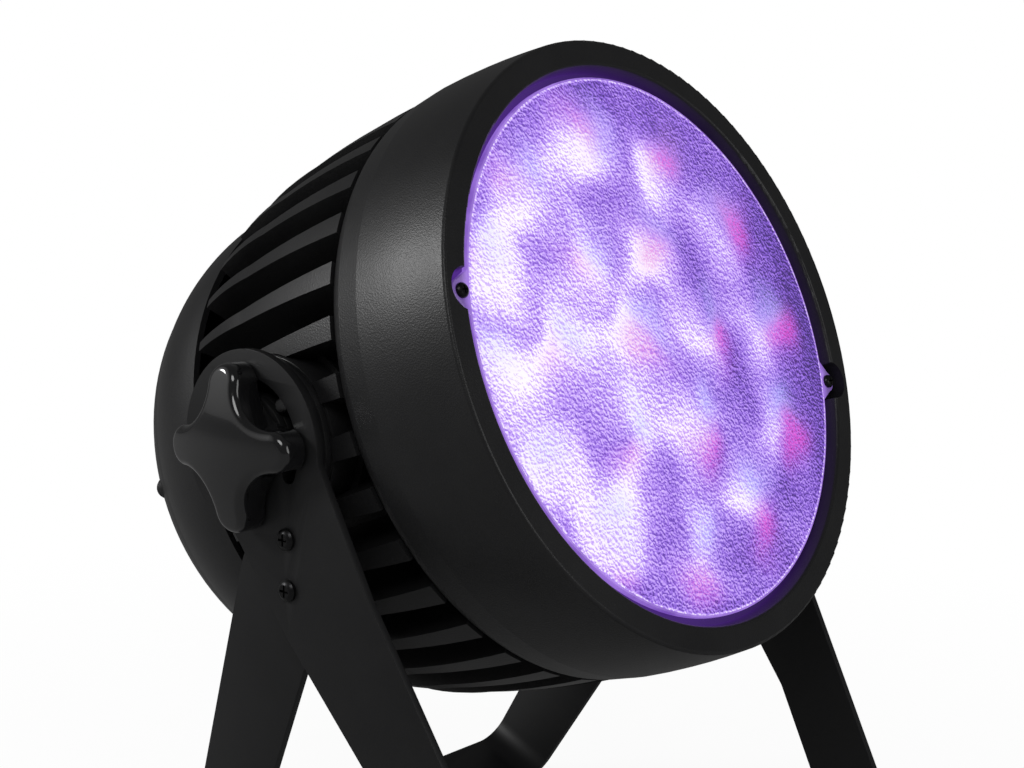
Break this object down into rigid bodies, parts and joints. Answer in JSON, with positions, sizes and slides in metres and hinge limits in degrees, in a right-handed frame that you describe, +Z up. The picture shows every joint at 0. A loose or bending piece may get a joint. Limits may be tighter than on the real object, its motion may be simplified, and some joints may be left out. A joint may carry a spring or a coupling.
{
  "type": "led wash light",
  "caption": "Round wash light with a deep bezel, frosted cover, lengthwise cooling ribs and a bowl-shaped rear cap, tilting in a double bracket that also stands on the floor",
  "frame": {"origin": "middle of the footprint, on the floor under the object", "axes": "+Z up, -Y the way the light faces, X along the tilt axis"},
  "size_m": [0.285, 0.2725, 0.3432],
  "materials": {
    "bracket_paint": "fine satin black powder coat",
    "housing_paint": "fine-textured black powder coat on cast aluminium",
    "panel_paint": "satin black sheet",
    "black_screws": "black oxide steel",
    "frosted_cover": "pebbled frosted plastic, lit violet from behind",
    "clear_lens": "clear polished plastic",
    "dark_window": "smoked gloss window",
    "knob_gloss": "polished black",
    "brass": "turned brass",
    "bright_steel": "zinc plated",
    "friction_pad": "dull dark plastic",
    "seal_rubber": "dull black rubber",
    "holder_plastic": "moulded black",
    "circuit_board": "green solder mask",
    "led_board_white": "white solder mask on aluminium",
    "led_package": "clear dome over four chips",
    "supply_case": "bare sheet",
    "button_plastic": "grey moulded caps",
    "inlet_plastic": "blue moulded",
    "outlet_plastic": "light grey moulded",
    "data_socket_metal": "black plated shell"
  },
  "bodies": {
    "stand": {"front_bracket": "bracket_paint", "rear_bracket": "bracket_paint", "bracket_screws": "black_screws", "bracket_nuts": "black_screws"},
    "head": {"front_bezel": "housing_paint", "ribbed_housing": "housing_paint", "rear_cap": "housing_paint", "pivot_hub_left": "housing_paint", "pivot_hub_right": "housing_paint", "rear_panel": "panel_paint", "bezel_screws": "black_screws", "lens_cover_screws": "black_screws", "cap_screws": "black_screws", "panel_screws": "black_screws", "vent_plug": "black_screws", "lens_cover": "frosted_cover", "collimator_lenses": "clear_lens", "display_window": "dark_window", "data_pins": "brass", "pivot_stud_left": "bright_steel", "pivot_stud_right": "bright_steel", "stop_pin_left": "bright_steel", "stop_pin_right": "bright_steel", "knob_washer_left": "bright_steel", "knob_washer_right": "bright_steel", "safety_eye": "bright_steel", "board_standoffs": "bright_steel", "led_board_screws": "bright_steel", "friction_washer_left": "friction_pad", "friction_washer_right": "friction_pad", "lens_gasket": "seal_rubber", "cap_gasket": "seal_rubber", "led_lead": "seal_rubber", "power_lead": "seal_rubber", "lens_holder": "holder_plastic", "driver_board": "circuit_board", "display_board": "circuit_board", "led_board": "led_board_white", "led_emitters": "led_package", "power_supply": "supply_case", "power_inlet": "inlet_plastic", "power_outlet": "outlet_plastic", "data_inlet": "data_socket_metal", "data_outlet": "data_socket_metal"},
    "knob_left": {"knob_left": "knob_gloss", "knob_insert_left": "brass"},
    "knob_right": {"knob_right": "knob_gloss", "knob_insert_right": "brass"},
    "menu_button": {"menu_button": "button_plastic"},
    "down_button": {"down_button": "button_plastic"},
    "up_button": {"up_button": "button_plastic"},
    "enter_button": {"enter_button": "button_plastic"}
  },
  "joints": [
    {"name": "head_tilt", "type": "hinge", "parent": "stand", "child": "head", "pos_m": [0, 0.00021, 0.2], "axis": [-1, 0, 0], "range_deg": [-69, 69]},
    {"name": "knob_left_turn", "type": "hinge", "parent": "head", "child": "knob_left", "pos_m": [0, 0.00021, 0.2], "axis": [-1, 0, 0], "range_deg": [0, 360]},
    {"name": "knob_right_turn", "type": "hinge", "parent": "head", "child": "knob_right", "pos_m": [0, 0.00021, 0.2], "axis": [1, 0, 0], "range_deg": [0, 360]},
    {"name": "menu_press", "type": "slide", "parent": "head", "child": "menu_button", "axis": [0, -0.9336, 0.3584], "range_m": [0, 0.0008], "stiffness_N_per_m": 1500},
    {"name": "down_press", "type": "slide", "parent": "head", "child": "down_button", "axis": [0, -0.9336, 0.3584], "range_m": [0, 0.0008], "stiffness_N_per_m": 1500},
    {"name": "up_press", "type": "slide", "parent": "head", "child": "up_button", "axis": [0, -0.9336, 0.3584], "range_m": [0, 0.0008], "stiffness_N_per_m": 1500},
    {"name": "enter_press", "type": "slide", "parent": "head", "child": "enter_button", "axis": [0, -0.9336, 0.3584], "range_m": [0, 0.0008], "stiffness_N_per_m": 1500}
  ]
}
